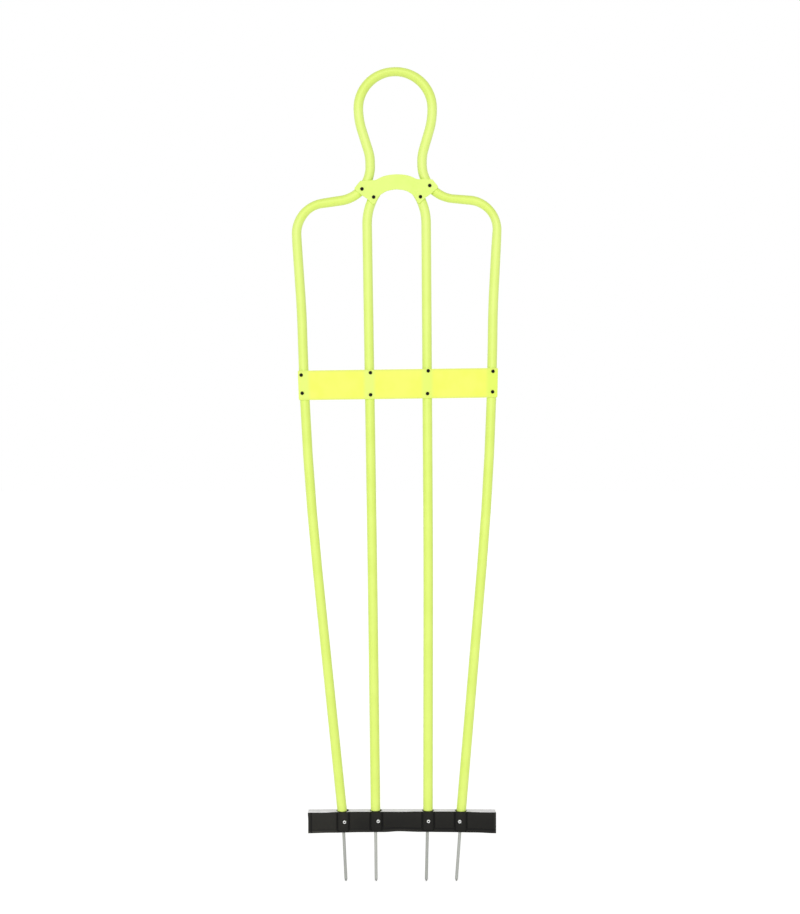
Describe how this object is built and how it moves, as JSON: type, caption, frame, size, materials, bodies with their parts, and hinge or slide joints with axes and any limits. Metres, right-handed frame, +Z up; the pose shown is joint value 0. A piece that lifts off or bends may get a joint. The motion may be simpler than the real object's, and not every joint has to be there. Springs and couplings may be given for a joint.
{
  "type": "free kick mannequin",
  "caption": "Life-size flat football wall figure of bent plastic tubes with neck and chest plates, on a steel and rubber base with ground spikes.",
  "frame": {"origin": "on the turf line, in the plane of the tubes, midway between the outer tube's ends", "axes": "+Z up; +X to the right as seen from the front; the front, with the plates and screw heads, faces -Y"},
  "size_m": [0.48, 0.0375, 1.8598],
  "materials": {
    "neon_tube": "satin fluorescent yellow-green extruded plastic",
    "neon_plate": "satin fluorescent yellow-green sheet",
    "chest_plate": "satin fluorescent yellow sheet, slightly see-through",
    "black_screw": "black pan-head self-tapping screws",
    "base_rubber": "black moulded rubber with a fine satin skin",
    "base_steel": "galvanised, dull",
    "bright_bolt": "bright zinc plate",
    "plug_nylon": "black nylon",
    "spike_zinc": "zinc-plated drawn rod"
  },
  "bodies": {
    "root": {"outer_tube": "neon_tube", "inner_tube": "neon_tube", "neck_plate": "neon_plate", "chest_plate": "chest_plate", "neck_screw_1": "black_screw", "neck_screw_2": "black_screw", "neck_screw_3": "black_screw", "neck_screw_4": "black_screw", "chest_screw_1": "black_screw", "chest_screw_2": "black_screw", "chest_screw_3": "black_screw", "chest_screw_4": "black_screw", "chest_screw_5": "black_screw", "chest_screw_6": "black_screw", "chest_screw_7": "black_screw", "chest_screw_8": "black_screw", "base_cover": "base_rubber", "base_angle": "base_steel", "base_bolt_1": "bright_bolt", "base_bolt_2": "bright_bolt", "base_bolt_3": "bright_bolt", "base_bolt_4": "bright_bolt", "base_nut_1": "bright_bolt", "base_nut_2": "bright_bolt", "base_nut_3": "bright_bolt", "base_nut_4": "bright_bolt", "spike_plug_1": "plug_nylon", "spike_plug_2": "plug_nylon", "spike_plug_3": "plug_nylon", "spike_plug_4": "plug_nylon", "spike_1": "spike_zinc", "spike_2": "spike_zinc", "spike_3": "spike_zinc", "spike_4": "spike_zinc"}
  },
  "joints": []
}
